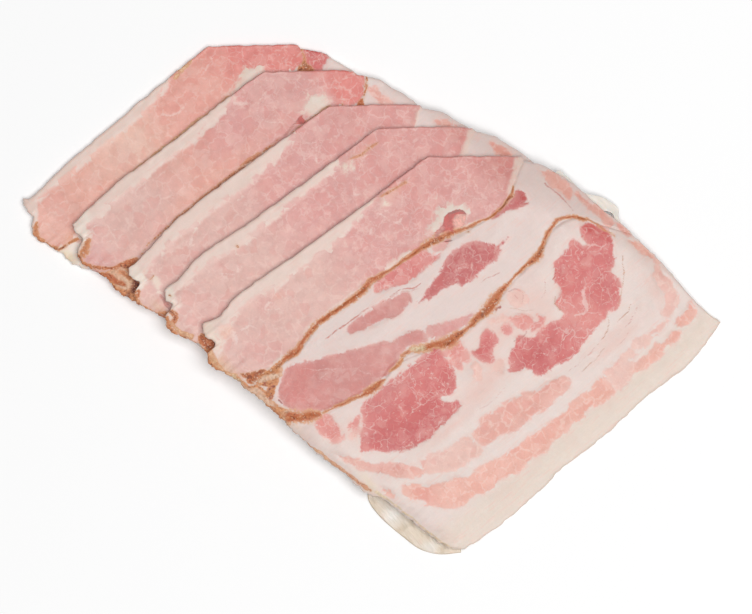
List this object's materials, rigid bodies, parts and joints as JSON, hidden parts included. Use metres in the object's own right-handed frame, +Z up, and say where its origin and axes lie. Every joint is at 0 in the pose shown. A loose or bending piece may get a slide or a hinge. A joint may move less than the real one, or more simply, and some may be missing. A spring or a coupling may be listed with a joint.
{
  "type": "sliced rolled pork belly",
  "caption": "Thin slices of rolled, pressed pork belly with a browned rim, fanned out one on another as they lie in a pack.",
  "frame": {"origin": "middle of the pile's box, on the surface the pile lies on", "axes": "+X the way the slices are fanned, from the lowest slice to the top one; +Y along their fat edges, away from the crusted near ends; +Z up"},
  "size_m": [0.1562, 0.1321, 0.0121],
  "materials": {
    "slice_1": "moist, salmon pink lean with cream fat",
    "slice_2": "moist, pink lean with cream fat",
    "slice_3": "moist, greyish pink lean with cream fat",
    "slice_4": "moist, greyish pink lean with cream fat",
    "slice_5": "moist, pink and deep pink lean with cream fat",
    "membrane": "wet, see-through membrane"
  },
  "bodies": {
    "root": {"slice_1": "slice_1", "slice_2": "slice_2", "slice_3": "slice_3", "slice_4": "slice_4", "slice_5": "slice_5", "membrane_near": "membrane", "membrane_far": "membrane"}
  },
  "joints": []
}
